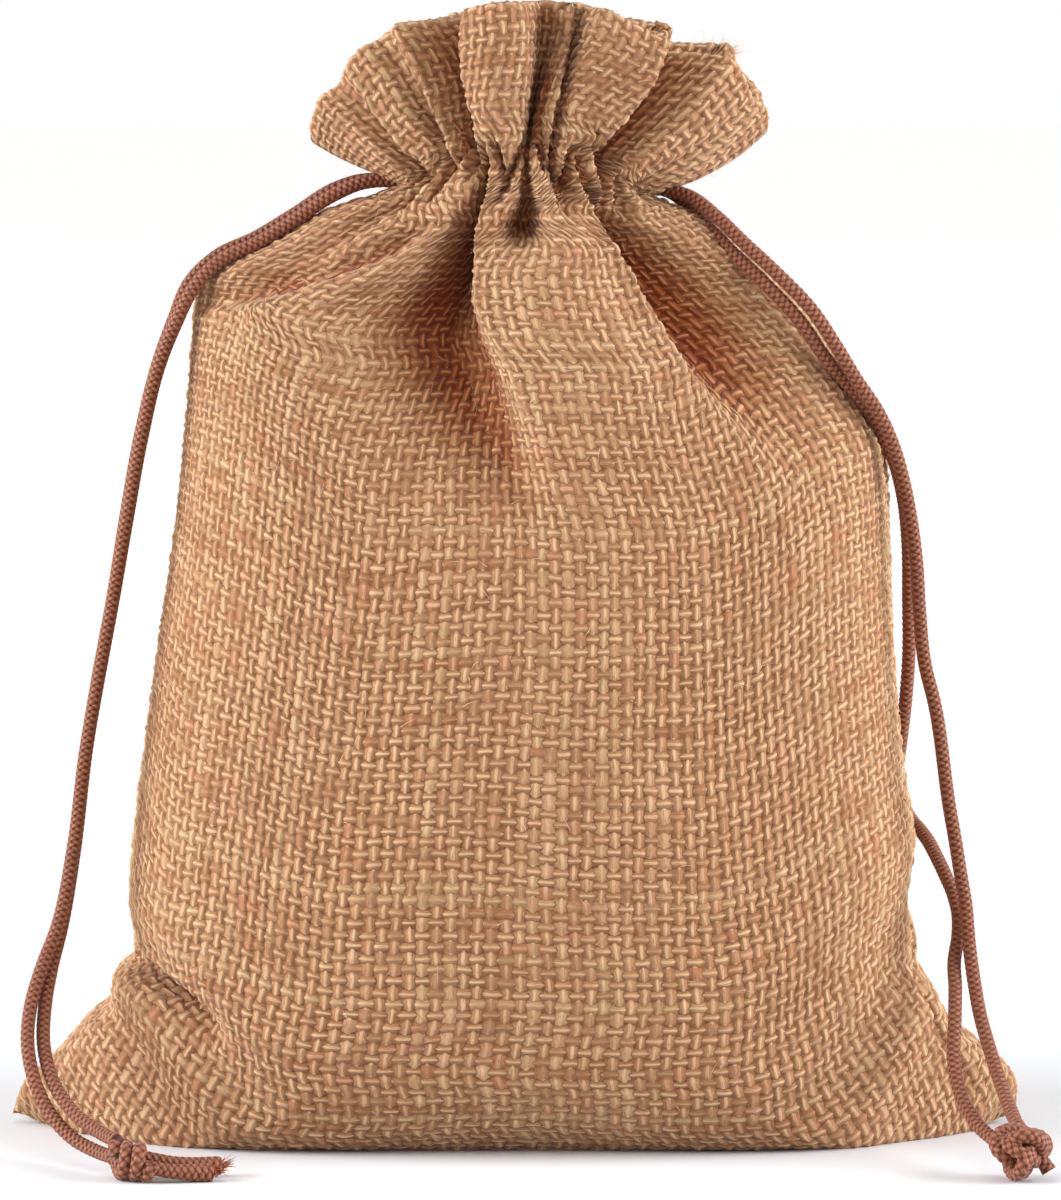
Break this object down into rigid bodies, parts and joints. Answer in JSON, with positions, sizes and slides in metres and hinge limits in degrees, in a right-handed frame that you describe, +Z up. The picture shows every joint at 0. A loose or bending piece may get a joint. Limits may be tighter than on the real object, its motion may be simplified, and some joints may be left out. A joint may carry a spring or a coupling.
{
  "type": "burlap sack",
  "caption": "Small burlap drawstring sack, standing filled and drawn shut, with its header flared into a ruffle and a knotted brown drawcord at each side.",
  "frame": {"origin": "centre of the sack's bounding box at the surface it stands on, cords left out", "axes": "+Z up through the mouth, +X to the right seen from the front, front panel faces -Y"},
  "size_m": [0.132, 0.0773, 0.1445],
  "materials": {
    "burlap": "coarse plain-weave jute, matt",
    "drawcord": "round braided brown cord, slight sheen"
  },
  "bodies": {
    "root": {"sack_cloth": "burlap", "cord_left_a": "drawcord", "cord_left_b": "drawcord", "cord_right_a": "drawcord", "cord_right_b": "drawcord", "knot_left": "drawcord", "knot_right": "drawcord"}
  },
  "joints": []
}
